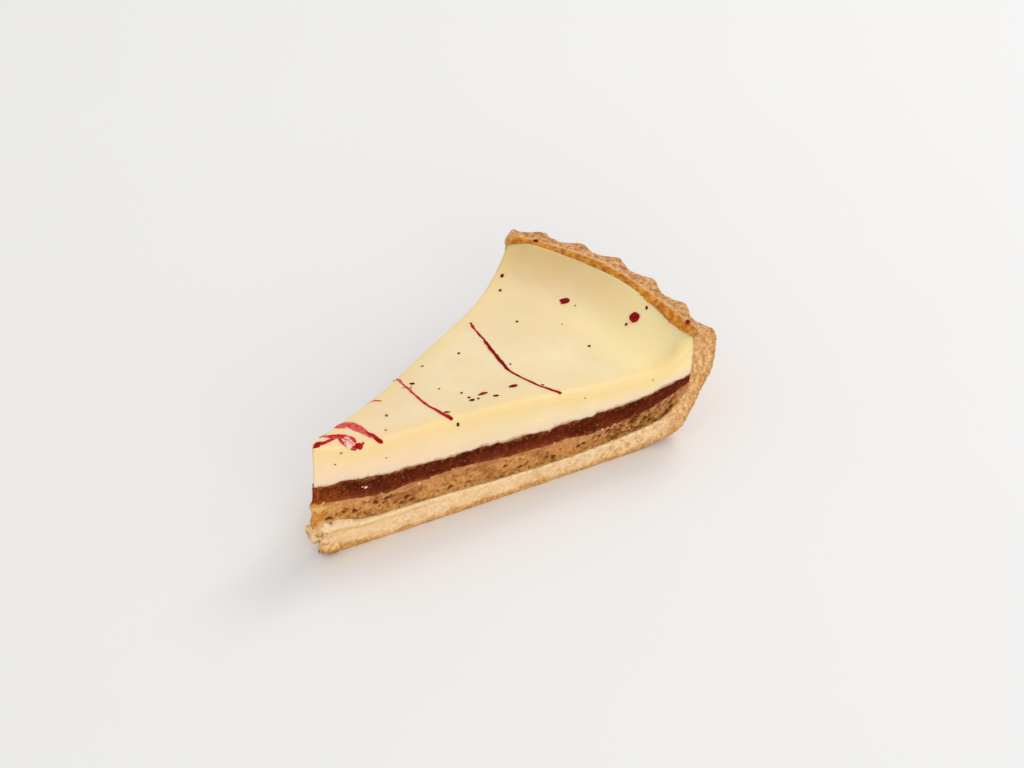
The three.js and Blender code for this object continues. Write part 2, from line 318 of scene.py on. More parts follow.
class Paint:
    """A material put together node by node. Sizes are real, in mm.

    Where a method takes a value, that is a node's output, a number, the name of one of the mesh's marks,
    or what "between" takes, as a tuple.
    """

    def __init__(self, name, specular, roughness=0.5, scatter=(0, 0.001, (1, 1, 1))):
        """scatter gives the share of light that passes into the food, how deep in m, and how deep by colour."""
        self.material = bpy.data.materials.new(name)
        self.material.use_nodes = True
        self.tree = self.material.node_tree
        self.tree.nodes.clear()
        self.shader = self.add("BsdfPrincipled")
        values = {"Specular IOR Level": specular, "Roughness": roughness}
        values |= zip(("Subsurface Weight", "Subsurface Scale", "Subsurface Radius"), scatter)
        for socket, value in values.items():
            self.shader.inputs[socket].default_value = value
        self.add("OutputMaterial", {"Surface": self.shader.outputs["BSDF"]})
        self.place = self.add("TexCoord").outputs["Object"]

    def add(self, kind, inputs=None, **settings):
        node = self.tree.nodes.new("ShaderNode" + kind)
        for name, value in settings.items():
            setattr(node, name, value)
        for socket, value in (inputs or {}).items():
            self.feed(node.inputs[socket], value)
        return node

    def feed(self, socket, value):
        if isinstance(value, str):
            value = self.add("Attribute", attribute_name=value).outputs["Fac"]
        elif isinstance(value, tuple) and socket.type == "VALUE":
            value = self.between(*value)
        if isinstance(value, bpy.types.NodeSocket):
            self.tree.links.new(value, socket)
        else:
            socket.default_value = value

    def noise(self, grain, detail=3, roughness=0.55, distortion=0, scale=None, turn=(0, 0, 0)):
        """Smooth noise from 0 to 1 with lumps about "grain" mm across, which a scale under 1 draws out."""
        place = self.place
        if scale:
            inputs = {"Vector": place, "Rotation": turn, "Scale": scale}
            place = self.add("Mapping", inputs).outputs["Vector"]
        inputs = {
            "Vector": place, "Scale": 0.5 / (grain * MM), "Detail": detail,
            "Roughness": roughness, "Distortion": distortion,
        }
        return self.add("TexNoise", inputs).outputs["Fac"]

    def grains(self, size):
        """Distance from scattered points about "size" mm apart."""
        inputs = {"Vector": self.place, "Scale": 1 / (size * MM)}
        return self.add("TexVoronoi", inputs).outputs["Distance"]

    def between(self, value, low, high, start=0.0, end=1.0):
        """Runs from start to end while value runs from low to high."""
        inputs = {"Value": value, "From Min": low, "From Max": high, "To Min": start, "To Max": end}
        return self.add("MapRange", inputs, interpolation_type="SMOOTHSTEP").outputs["Result"]

    def calc(self, operation, a, b):
        return self.add("Math", {0: a, 1: b}, operation=operation).outputs[0]

    def plus(self, a, b):
        return self.calc("ADD", a, b)

    def minus(self, a, b):
        return self.calc("SUBTRACT", a, b)

    def times(self, a, b):
        return self.calc("MULTIPLY", a, b)

    def mix(self, share, a, b):
        return self.add("Mix", {"Factor": share, 6: a, 7: b}, data_type="RGBA").outputs[2]

    def grade(self, value, start, end, low=0.36, high=0.64):
        """Runs from one 8-bit colour to another while value runs from low to high."""
        return self.mix(self.between(value, low, high), srgb(start), srgb(end))

    def coat(self, colour, *coats):
        """Lays 8-bit colours over a colour, each by its share: (share, channels)."""
        for share, channels in coats:
            colour = self.mix(share, colour, srgb(channels))
        return colour

    def finish(self, colour, *relief, gloss=None):
        """The material, with its colour, its relief from (height, depth in mm) layers and its roughness."""
        self.feed(self.shader.inputs["Base Color"], colour)
        if gloss:
            self.feed(self.shader.inputs["Roughness"], gloss)
        for height, depth in relief:
            bump = self.add("Bump", {"Height": height, "Distance": depth * MM, "Strength": 1.0})
            for link in self.shader.inputs["Normal"].links:
                self.feed(bump.inputs["Normal"], link.from_socket)
            self.feed(self.shader.inputs["Normal"], bump.outputs["Normal"])
        return self.material


# ---- shortcrust case ----
CASE_CELLS = (480, 160, 24)
CASE_TIP_COLUMNS = 26  # finely divided all round
CASE_BASE_COLUMNS = 320
BEND_COLUMNS = 6  # of the floor before the wall, finely divided
INNER_CORNER = 112.0  # where the base's top starts to turn up into the wall
RIM_SHARE = 0.64  # of the rim's width, from its outer edge to its ridge
RIM_BLEND = 0.72  # share of the wall's height from which the rim's shape builds up
TALLEST = 38.0
BARE_COLUMNS = 18  # of the inner wall, which may show above the cream
SOFT_COLUMNS = 24  # of the rim, which are smoothed
RIM_COLUMNS = (26, 4)  # below the top, between which the rim's own grain builds up
FOOT_HEIGHT = 0.8  # below which nothing swells out, so that the case stands flat


def along(curve_points, share):
    """Points at shares of the length of a line of points."""
    steps = np.linalg.norm(np.diff(curve_points, axis=0), axis=1)
    travelled = np.r_[0, np.cumsum(steps)]
    return [np.interp(share * travelled[-1], travelled, curve_points[:, n]) for n in (0, 1)]


def case_outline(column, side, azimuth, w):
    """r and z of the case's even shape, w running from its outer to its inner face."""
    tip = lerp(TIP[1], np.where(side < 0, TIP[0], TIP[2]), side**2) + tip_profile(w)
    along_base = np.clip(column / CASE_BASE_COLUMNS, 0, 1)
    outer_r = lerp(tip, outer_wall(0) + flute_reach(azimuth, 0), along_base)
    inner_r = lerp(tip, INNER_CORNER, along_base)
    outer_z = np.zeros_like(w)
    inner_z = base_top(inner_r)

    wall = column > CASE_BASE_COLUMNS
    up = (column[wall] - CASE_BASE_COLUMNS) / (CASE_CELLS[0] - CASE_BASE_COLUMNS)
    azimuth, across = azimuth[wall], w[wall]
    ridge, drop = rim_ridge(side[wall]), rim_drop(side[wall])
    heights = np.linspace(0, 1, 400) ** 2 * TALLEST
    _, rising = along(np.stack([outer_wall(heights), heights], axis=-1), up)
    rising = rising * (ridge - drop) / TALLEST
    outer_r[wall] = outer_wall(rising) + flute_reach(azimuth, rising)
    outer_z[wall] = rising
    lead = np.linspace(INNER_CORNER, INNER_WALL[0][1], 30)[:-1]
    inner_line = np.vstack([np.stack([lead, base_top(lead)], axis=-1), np.array(INNER_WALL)[:, ::-1]])
    inner_r[wall], inner_z[wall] = along(inner_line, up)
    r = lerp(outer_r, inner_r, w)
    z = lerp(outer_z, inner_z, w)

    # The rim rises from its outer edge to the ridge and falls from there to the cream.
    crest = outer_wall(ridge) + flute_reach(azimuth, ridge)
    contact_z, contact_r = INNER_WALL[-1]
    inward = np.clip(across / RIM_SHARE, 0, 1)
    past = np.clip((across - RIM_SHARE) / (1 - RIM_SHARE), 0, 1)
    rim_r = np.where(past > 0, lerp(RIM_RIDGE_RADIUS, contact_r, past), lerp(crest, RIM_RIDGE_RADIUS, inward))
    rim_z = np.where(past > 0, lerp(ridge, contact_z, past**1.6), ridge - drop * (1 - inward) ** 1.5)
    ease = np.clip((up - RIM_BLEND) / (1 - RIM_BLEND), 0, 1) ** 1.5
    r[wall] += (rim_r - lerp(crest, contact_r, across)) * ease
    z[wall] += (rim_z - lerp(ridge - drop, contact_z, across)) * ease
    return r, z


def make_case():
    nu, nv, nw = CASE_CELLS
    places, faces = shell(
        CASE_CELLS, range(CASE_TIP_COLUMNS, CASE_BASE_COLUMNS - BEND_COLUMNS),
        range(CASE_TIP_COLUMNS, nu - BARE_COLUMNS),
    )
    column, side, w = places[:, 0], 2 * (places[:, 1] / nv) - 1, places[:, 2] / nw
    azimuth = side * HALF_ANGLE
    near, cut = side < 0, np.abs(side) == 1
    r, z = case_outline(column, side, azimuth, w)
    points = polar(r, azimuth, z)
    ledge = np.where(near, LEDGE[0], LEDGE[1]) * bell(r, 0, np.where(near, LEDGE_REACH[0], LEDGE_REACH[1]))
    stand_out(points, azimuth, np.where(cut, side * (PROUD + ledge * w), 0))
    points[:, 2] -= np.where(cut, LEDGE_FALL * ledge * w, 0)
    tuck = UNDERCUT + UNDERCUT_TIP * bell(r, 0, UNDERCUT_REACH)
    tuck *= smoothstep(r, UNDERCUT_STARTS, UNDERCUT_FULL)
    points[:, 1] *= 1 - (1 - w) * tuck / (r * math.sin(HALF_ANGLE) + PROUD)

    mesh = new_mesh("pastry_case", points, faces)
    soften(mesh, np.where(~cut & (column > nu - SOFT_COLUMNS), 0.5, 0), 3)
    points = read(mesh, "co")
    coarse = smoothstep(r, 50, 100)
    rim = smoothstep(column, nu - RIM_COLUMNS[0], nu - RIM_COLUMNS[1])
    sandy = 0.13 * rough(points, 1.1, 2, 3) - 0.5 * np.clip(0.34 - nearest_grain(points, 1.5, 5), 0, 1)
    baked = 0.08 * rough(points, 1.3, 2, 4) - 0.35 * np.clip(0.34 - nearest_grain(points, 1.9, 6), 0, 1)
    fine_relief = np.where(cut, sandy * (0.6 + 0.6 * coarse), baked)
    fine_relief += rim * 0.17 * rough(points, 0.85, 2, 15)
    crevice = bell(z, 8.9, 0.55) * bell(r, 0, 8) * near
    amount = fine_relief + 0.12 * rough(points, 5.5, 2, 8) + rim * 0.18 * rough(points, 2.4, 2, 14)
    amount -= 0.7 * crevice
    amount += bell(r, 0, 12) * (1.1 * (0.5 - nearest_grain(points, 3.0, 21)) + 0.5 * rough(points, 1.6, 2, 30))
    swell(mesh, np.where(points[:, 2] < FOOT_HEIGHT, np.minimum(amount, 0), amount))
    points = read(mesh, "co")
    points[:, 2] = np.maximum(points[:, 2], 0)
    put(mesh, points)

    top = column == nu
    inner_face = (places[:, 2] == nw) & (column > nu - BARE_COLUMNS - 2)
    bevel = np.where(top, smoothstep(w, RIM_SHARE - 0.05, RIM_SHARE + 0.06), inner_face)
    skin = ~cut & (column >= CASE_TIP_COLUMNS)
    skin_relief = np.where(skin & ~top, 0.45, 1)
    mark(
        mesh, skin=skin, bevel=bevel * smoothstep(np.abs(side), 1.0, 0.93), rim=rim,
        lower=bell(w, 0, 0.3), lip=smoothstep(w, 0.86, 0.98),
        crease=bell(w, 0.82, 0.05) * smoothstep(r, 70, 30),
        crest=np.where(top, bell(w, RIM_SHARE - 0.04, 0.07), 0),
        wall=smoothstep(r, 112, 124), coarse=np.maximum(coarse, 0.3),
        relief=fine_relief / 0.2 * skin_relief - 2 * crevice,
        groove=np.where(w < 0.5, -flute_reach(azimuth, z) / FLUTE_DEPTH * 2, 0),
    )
    return mesh


def pastry_paint():
    paint = Paint("shortcrust", 0.25, scatter=(0.12, 0.0012, (1.0, 0.55, 0.25)))
    streaks = paint.noise(1.6, 3, 0.6, 0.3, (0.3, 0.3, 1))
    grain_up = paint.noise(0.6, 3, 0.7, 0.3, (1, 1, 0.5), (0, 0.35, 0))
    fine = paint.noise(0.5, 3, 0.7)
    grit = paint.grains(0.9)
    specks = paint.noise(0.45, 2, 0.6)
    # painted shade in the relief's hollows (the crevice at the tip too) and painted highlight on its raised
    # grains
    hollow_shade, raised_highlight = ("relief", -1.2, 0.1, 1, 0), ("relief", 0.1, 1.2)

    crumb = paint.coat(
        paint.grade(fine, (240, 200, 148), (252, 222, 176)),
        ((streaks, 0.42, 0.66, 0, 0.5), (242, 200, 144)),
        # painted highlight along the base's upper edge, where its ledge catches the light
        (("lip", 0, 1, 0, 0.6), (255, 228, 188)),
        # painted shade in a thin line just below the base's lit upper edge
        (paint.times("crease", (paint.noise(4, 2), 0.36, 0.6, 0.15, 0.8)), (220, 168, 112)),
        (paint.times("coarse", (paint.noise(1.2, 3, 0.65), 0.5, 0.62, 0, 0.65)), (212, 148, 76)),
        (paint.times("coarse", (grit, 0.08, 0.3, 1, 0)), (255, 240, 204)),
        (paint.times(hollow_shade, 0.5), (206, 146, 82)),
        (paint.times(raised_highlight, 0.4), (255, 232, 194)),
    )
    wall = paint.coat(
        paint.grade(grain_up, (200, 138, 74), (240, 194, 138)),
        ((grit, 0.08, 0.3, 0.9, 0), (255, 234, 198)),
        (paint.times(hollow_shade, 0.35), (186, 126, 64)),
        (paint.times(raised_highlight, 0.3), (250, 216, 168)),
    )
    golden = paint.grade(fine, (184, 124, 54), (228, 176, 104), 0.34, 0.66)
    foot = paint.plus("lower", (paint.noise(3, 3), 0.3, 0.7, -0.4, 0.3))
    cut = paint.mix((foot, 0.15, 0.9), paint.mix("wall", crumb, wall), golden)

    skin = paint.coat(
        paint.grade(fine, (208, 150, 88), (232, 184, 124), 0.33, 0.67),
        # darker, browner flute grooves: partly painted shade, partly the browner baking where fat collects
        (("groove", -0.3, 0.9, 0, 0.55), (184, 122, 62)),
    )
    rim = paint.coat(
        paint.grade(fine, (180, 118, 60), (230, 178, 120)),
        (paint.times(hollow_shade, 0.85), (150, 88, 40)),
        (paint.times(raised_highlight, 0.75), (250, 210, 158)),
        # painted highlight along the rim's ridge
        (paint.times("crest", 0.5), (246, 200, 148)),
    )
    caramel = paint.grade(paint.noise(0.9, 3), (184, 104, 14), (228, 154, 48))
    baked = paint.mix("bevel", paint.mix("skin", cut, paint.mix("rim", skin, rim)), caramel)
    dots = paint.times((specks, 0.64, 0.72, 0, 0.7), ("coarse", 0, 1, 0.25, 1))
    colour = paint.coat(baked, (dots, (164, 102, 50)))
    gloss = ("bevel", 0, 1, 0.8, 0.42)
    return paint.finish(colour, (fine, 0.25), (specks, 0.1), (grit, 0.12), gloss=gloss)


# ---- layers of filling ----
SETTLING_PASSES = 20
INTO_WALL = 0.3  # how far a layer reaches into the crust behind the crust's proud cut face
LAP_BELOW, LAP_ABOVE = 0.5, 0.3  # how far layers reach into the one below and above them
TIP_COLUMNS, END_COLUMNS = 12, 2  # finely divided all round, at the tip and by the crust
WOBBLE_ACROSS = 12  # mm from side to side of the unevenness that a boundary is cut from


def layer_points(places, cells, floor, ceiling, spacing):
    """r, side and share of the thickness at a layer's places, and r at its tip."""
    nu, nv, nw = cells
    u, v, w = places[:, 0] / nu, spacing[places[:, 1]], places[:, 2] / nw
    side = 2 * v - 1
    first = filling_tip(lerp(floor(0 * u, side), ceiling(0 * u, side), w)) + TIP_SLANT * v
    last = np.full_like(u, INNER_WALL[-1][1])
    for _ in range(SETTLING_PASSES):
        last = inner_wall(lerp(floor(last, side), ceiling(last, side), w)) + INTO_WALL
    return lerp(first, last, u), side, w, first


def filling(cells, floor, ceiling):
    """A layer that only its cuts and tip show: places, faces, r, side, share of the thickness, height."""
    hidden = range(TIP_COLUMNS, cells[0] - END_COLUMNS)
    places, faces = shell(cells, hidden, hidden)
    r, side, w, _ = layer_points(places, cells, floor, ceiling, np.linspace(0, 1, cells[1] + 1))
    return places, faces, r, side, w, lerp(floor(r, side), ceiling(r, side), w)


def wobble(r, side, seed):
    """How far a layer's boundary strays from its even line."""
    points = np.stack([r, WOBBLE_ACROSS * side, 0 * r], axis=-1)
    waves = (0.5, 6.5), (0.26, 2.1), (0.2, 0.9)  # height, length
    return sum(height * noise(points, length, seed + n) for n, (height, length) in enumerate(waves))


def fruit_ceiling(r, side):
    return fruit_top(r) + wobble(r, side, 40)


def fruit_floor(r, side):
    return sponge_top(r) + wobble(r, side, 44)


def cream_floor(r, side):
    return fruit_ceiling(r, side) - LAP_BELOW


SPONGE_CELLS = (430, 20, 28)
FRUIT_CELLS = (430, 20, 18)
FRUIT_PROUD = 0.1

# Open pores on the near cut face: distance from the axis, height, length, height of the pore.
NEAR_PORES = [
    (6.5, 13.7, 1.3, 0.7), (10.9, 14.2, 1.0, 0.7), (14.7, 13.5, 1.4, 0.6), (21.5, 14.2, 1.2, 0.8),
    (25.0, 14.3, 1.6, 0.7), (24.3, 13.1, 1.1, 0.5), (22.3, 12.3, 1.0, 0.4), (29.4, 10.7, 1.2, 0.5),
    (31.7, 12.1, 1.3, 0.7), (32.6, 10.6, 1.0, 0.5), (45.3, 10.5, 1.6, 0.5), (50.9, 10.3, 1.4, 0.5),
    (63.6, 11.1, 1.0, 0.5), (68.9, 9.4, 1.5, 0.4), (77.3, 9.3, 0.9, 0.7), (79.5, 8.6, 0.8, 0.9),
    (87.8, 9.8, 1.1, 0.6), (89.5, 10.0, 1.2, 0.7), (95.5, 10.6, 0.7, 0.6), (98.4, 11.5, 1.0, 0.5),
    (102.2, 10.5, 0.9, 0.6), (106.7, 12.1, 1.5, 1.1), (108.1, 13.3, 1.1, 0.7), (110.9, 11.9, 1.3, 0.8),
    (112.6, 10.5, 1.0, 0.6), (114.7, 9.3, 1.2, 0.5), (116.8, 9.7, 1.3, 0.8), (118.4, 11.2, 1.6, 0.9),
    (120.3, 12.6, 1.5, 0.8), (119.5, 14.4, 1.2, 0.6),
]
SMALL_PORES, CRUST_END_PORES = 150, 60  # all along a cut, and near the crust alone
PORES_START, CRUST_END_STARTS, PORES_END = 4, 98, 122  # distances from the axis
PORE_STRAY = 0.55  # mm that a pore's outline strays


def pore_depth(r, z, pores):
    """Depth of uneven pores, from 0 to 1, at places on a cut face."""
    places = np.stack([r, z, 0 * r], axis=-1)
    r = r + PORE_STRAY * noise(places, 1.1, 81)
    z = z + 0.7 * PORE_STRAY * noise(places, 0.9, 82)
    depth = np.zeros(len(r))
    for at_r, at_z, length, height in pores:
        depth = np.maximum(depth, np.exp(-(((r - at_r) / length) ** 2 + ((z - at_z) / height) ** 2) * 2.2))
    return depth


def small_pores(seed):
    """Seeded pores over a cut face, most of them low in the sponge and near the crust."""
    random = np.random.default_rng(seed)
    pores = []
    for n in range(SMALL_PORES + CRUST_END_PORES):
        r = random.uniform(PORES_START if n < SMALL_PORES else CRUST_END_STARTS, PORES_END)
        z = lerp(float(base_top(r)), float(sponge_top(r)), random.beta(1.3, 2.2))
        pores.append((r, z, random.uniform(0.3, 0.7), random.uniform(0.25, 0.5)))
    return pores


def make_sponge():
    places, faces, r, side, w, z = filling(
        SPONGE_CELLS, lambda r, side: base_top(r) - LAP_BELOW, lambda r, side: fruit_floor(r, side) + LAP_ABOVE,
    )
    points = polar(r, side * HALF_ANGLE, z)
    mesh = new_mesh("almond_sponge", points, faces)

    near, far = side == -1, side == 1
    shallow = lerp(0.42, 0.75, smoothstep(r[near], 90, 106))
    depth = np.zeros(len(r))
    depth[near] = np.maximum(
        pore_depth(r[near], z[near], NEAR_PORES), shallow * pore_depth(r[near], z[near], small_pores(7)),
    )
    depth[far] = 0.6 * pore_depth(r[far], z[far], small_pores(8) + small_pores(9)[:60])
    broken = bell(r, 0, 11)
    craggy = smoothstep(r, 88, 106)
    relief = 0.4 * (0.5 - nearest_grain(points, 1.2, 50)) + 0.16 * rough(points, 1.1, 2, 52)
    relief = relief * (1 + 0.5 * craggy) - 0.9 * depth
    amount = relief + 0.1 * rough(points, 3.2, 2, 54) - 0.05
    amount += broken * (1.3 * (0.5 - nearest_grain(points, 2.0, 55)) + 0.6 * rough(points, 1.3, 2, 57))
    swell(mesh, amount * (near | far | (places[:, 0] < TIP_COLUMNS)))
    above = z - base_top(r)
    mark(mesh, pore=depth, low=bell(above, 0, 2.2), seam=bell(above, 0.35, 0.5), broken=broken,
         relief=relief / 0.25, craggy=craggy, high=smoothstep(z, sponge_top(r) - 2.4, sponge_top(r) - 0.2))
    return mesh


def sponge_paint():
    paint = Paint("almond_sponge", 0.15, 0.85)
    blotch = paint.noise(2.6, 4, 0.65, 0, (0.6, 0.6, 1.3))
    fine = paint.noise(0.6, 4, 0.7)
    crumb = paint.coat(
        paint.grade(fine, (184, 116, 54), (220, 160, 96), 0.34, 0.66),
        ((paint.noise(9, 3), 0.42, 0.62, 0, 0.6), (206, 142, 80)),
        ((blotch, 0.48, 0.62, 0, 0.8), (156, 94, 40)),
        (("high", 0, 1, 0, 0.5), (196, 130, 92)),
        (paint.times("craggy", 0.45), (160, 100, 50)),
    )
    damp = paint.grade(fine, (118, 68, 8), (180, 124, 46))
    patchy = (paint.noise(4, 3), 0.38, 0.6, 0.25, 1.0)
    olive = paint.times("seam", (paint.noise(3, 3), 0.4, 0.62, 0, 0.75))
    colour = paint.coat(paint.mix(paint.times("low", patchy), crumb, damp), (olive, (198, 152, 72)))
    golden = paint.grade(blotch, (242, 190, 118), (212, 140, 60), 0.4, 0.6)
    # dark pits low in the sponge: painted shade of small pores that have no depth of their own
    pit_shade = (paint.noise(0.5, 2, 0.5), 0.61, 0.70, 0, 0.75)
    colour = paint.coat(
        paint.mix(("broken", 0.1, 1, 0, 0.85), colour, golden),
        # painted highlight on the raised crumb and painted shade in its hollows and pores
        (("relief", 0.0, 1.4, 0, 0.55), (240, 196, 142)),
        (("relief", -1.3, -0.2, 0.75, 0), (128, 72, 24)),
        # painted shade inside the pores
        (("pore", 0.2, 0.8, 0, 0.85), (86, 46, 14)),
        (paint.times(pit_shade, "low"), (96, 50, 12)),
    )
    return paint.finish(colour, (fine, 0.35), (paint.noise(0.35, 2), 0.12))


def make_fruit():
    places, faces, r, side, w, z = filling(FRUIT_CELLS, fruit_floor, fruit_ceiling)
    points = polar(r, side * HALF_ANGLE, z)
    cut = np.abs(side) == 1
    stand_out(points, side * HALF_ANGLE, np.where(cut, side * FRUIT_PROUD, 0))
    mesh = new_mesh("fruit_layer", points, faces)
    relief = 0.12 * rough(points, 1.1, 2, 60) + 0.5 * np.clip(0.42 - nearest_grain(points, 1.7, 62), 0, 1)
    amount = relief + 0.12 * rough(points, 5, 1, 64)
    swell(mesh, amount * (cut | (places[:, 0] < TIP_COLUMNS)) * (0.35 + 0.65 * np.sin(np.pi * w)))
    mark(mesh, tip=bell(r, 0, 14), level=w, relief=relief / 0.15)
    return mesh


def fruit_paint():
    paint = Paint("dark_fruit", 0.04)
    blotch = paint.noise(7, 3, 0.6, 0, (1, 1, 2.4))
    fine = paint.noise(0.8, 4, 0.75)
    height = paint.plus("level", (fine, 0.3, 0.7, -0.16, 0.16))
    ruddy = paint.times((height, 0.2, 0.7, 0.3, 0), (blotch, 0.4, 0.6, 1, 0.2))
    colour = paint.coat(
        paint.grade(fine, (70, 18, 0), (110, 40, 12), 0.36, 0.66),
        (ruddy, (138, 62, 34)),
        ((blotch, 0.44, 0.62, 0, 0.65), (66, 18, 4)),
        # painted highlight on the raised grains and painted shade in the hollows
        (("relief", 0.2, 1.6, 0, 0.5), (150, 74, 42)),
        (("relief", -1.4, -0.2, 0.5, 0), (58, 14, 2)),
    )
    orange = paint.grade(fine, (112, 40, 10), (174, 86, 34), 0.36, 0.66)
    patchy = (paint.noise(6, 2), 0.42, 0.6, 0.4, 0.85)
    colour = paint.coat(
        paint.mix(("tip", 0.2, 1, 0, 0.75), colour, orange),
        ((paint.noise(0.4, 2, 0.5), 0.67, 0.73, 0, 0.6), (196, 124, 88)),
        (paint.times((height, 0.84, 1.04), patchy), (140, 88, 46)),
        ((height, -0.02, 0.2, 0.65, 0), (152, 84, 44)),
    )
    gloss = (fine, 0.3, 0.7, 0.5, 0.8)
    return paint.finish(colour, (fine, 0.26), (paint.noise(0.35, 2), 0.08), gloss=gloss)


# ---- set cream ----
CREAM_CELLS = (330, 80, 40)
CREAM_TIP_COLUMNS = 6
EDGE_ROUNDING = (2.7, 1.5)  # mm, at the near and the far cut
TIP_ROUNDING = 0.5
ROUNDING_STARTS, ROUNDING_FULL = 4, 34  # distances from the axis
# Where the cream curls up by the crust, its rise and its reach in mm.
CORNER_R, CORNER_SIDE, CORNER_CURL, CORNER_REACH = 124.5, -0.93, 0.7, 2.2
SKIN = 3  # mm in from an edge over which the unevenness of the cream sets in
FAR_OFF = 30  # height over the fruit that the cream's top is marked with, so that nothing soaks it


def edge_rounding(r, side):
    return lerp(
        TIP_ROUNDING, lerp(EDGE_ROUNDING[0], EDGE_ROUNDING[1], (side + 1) / 2),
        smoothstep(r, ROUNDING_STARTS, ROUNDING_FULL),
    )


def cream_surface(x, y):
    """Height of the cream's top, with its rounded edges."""
    r = np.hypot(x, y)
    side = np.arctan2(y, x) / HALF_ANGLE
    radius = edge_rounding(r, side)
    inside = np.clip(radius - r * HALF_ANGLE * (1 - np.abs(side)), 0, radius)
    return cream_top(r, side) - (radius - np.sqrt(radius**2 - inside**2))


def make_cream():
    nu, nv, nw = CREAM_CELLS
    places, faces = shell(CREAM_CELLS, range(CREAM_TIP_COLUMNS, nu - END_COLUMNS), range(0))
    spacing = (1 - np.cos(np.pi * np.linspace(0, 1, nv + 1))) / 2
    r, side, w, first = layer_points(places, CREAM_CELLS, cream_floor, cream_top, spacing)
    top = cream_top(r, side)
    z = lerp(cream_floor(r, side), top, w)
    depth = top - z

    # Where two or three of the top, a cut and the tip meet, points are drawn in to a rounded edge.
    radius = edge_rounding(r, side)
    from_side = np.clip(radius - r * HALF_ANGLE * (1 - np.abs(side)), 0, None)
    from_top = np.clip(radius - depth, 0, None)
    from_tip = np.clip(radius - (r - first), 0, None)
    longest = np.maximum(from_side, np.maximum(from_top, from_tip))
    drawn_in = 1 - longest / np.maximum(np.sqrt(from_side**2 + from_top**2 + from_tip**2), 1e-9)
    drawn_in[longest == 0] = 0
    r += from_tip * drawn_in
    z -= from_top * drawn_in
    side -= np.sign(side) * from_side * drawn_in / (r * HALF_ANGLE)
    points = polar(r, side * HALF_ANGLE, z)
    mesh = new_mesh("panna_cotta", points, faces)

    faced = (places[:, 1] == 0) | (places[:, 1] == nv) | (places[:, 0] == 0)
    top_face = places[:, 2] == nw
    amount = np.where(top_face, 0.16 * rough(points, 13, 2, 70), 0)
    amount += np.where(faced & ~top_face, 0.07 * rough(points * [1, 1, 0.35], 2.4, 2, 72), 0)
    inside = r * HALF_ANGLE * (1 - np.abs(side))
    swell(mesh, amount * smoothstep(np.maximum(depth, inside), 0, SKIN))
    curl = CORNER_CURL * bell(r, CORNER_R, CORNER_REACH)
    curl *= bell(RIM_HALF_WIDTH * (side - CORNER_SIDE), 0, CORNER_REACH)
    swell(mesh, np.where(depth < SKIN, curl, 0))
    mark(mesh, rise=np.where(faced, z - fruit_ceiling(r, side), FAR_OFF), outward=r,
         down=np.where(faced & ~top_face, depth, 0) - np.where(top_face, inside, 0),
         lit=smoothstep(r, 100, 114) * smoothstep(side, 0.7, -0.8))
    return mesh


def cream_paint():
    paint = Paint("set_cream", 0.25, scatter=(0.3, 0.003, (1.0, 0.6, 0.3)))
    small = paint.noise(3.5, 3)
    shaded = paint.times(("outward", 115, 127, 0, 0.75), paint.minus(1, "lit"))
    glow = paint.times(("down", -8.0, 1.0), ("down", 2.4, 8.0, 1, 0))
    threads = paint.noise(0.5, 2, 0.5, 0.4, (1, 1, 0.1))
    past = paint.minus("rise", (paint.noise(5, 2), 0.40, 0.64, 0.15, 1.5))
    dragged = paint.times((threads, 0.46, 0.64), (past, -1.1, 0.3, 1, 0))
    soaked = paint.plus("rise", (small, 0.3, 0.7, -0.4, 0.4))
    colour = paint.coat(
        paint.grade(paint.noise(15, 3), (243, 219, 171), (249, 228, 184), 0.38, 0.64),
        (("outward", 20, 60, 0.6, 0), (248, 210, 172)),
        ((small, 0.45, 0.7, 0, 0.3), (238, 211, 162)),
        ("lit", (255, 230, 172)),
        (shaded, (218, 182, 116)),
        (paint.times(glow, 0.7), (245, 214, 146)),
        (("rise", 0.3, 4.6, 0.85, 0), (242, 215, 186)),
        (paint.times(dragged, 0.4), (186, 128, 88)),
        ((soaked, 0.0, 1.1, 0.8, 0), (186, 130, 92)),
    )
    gloss = (small, 0.3, 0.7, 0.42, 0.58)
    return paint.finish(colour, (paint.noise(2.4, 3), 0.06), (paint.noise(0.5, 2), 0.03), gloss=gloss)


# ---- drizzle, berry bits and crumbs ----
SINK = 0.18  # how deep a topping's underside lies in the cream
RIBBON_STEP = 0.32
SECTION_POINTS = 10


def smooth_route(route):
    """Points a step apart on a smooth line through [x, y, width] places."""
    places = np.array(route, float)
    travelled = np.r_[0, np.cumsum(np.linalg.norm(np.diff(places[:, :2], axis=0), axis=1))]
    at = np.linspace(0, travelled[-1], max(6, int(travelled[-1] / RIBBON_STEP)))
    return np.stack([through(np.stack([travelled, places[:, n]], axis=-1))(at) for n in range(3)], axis=-1)


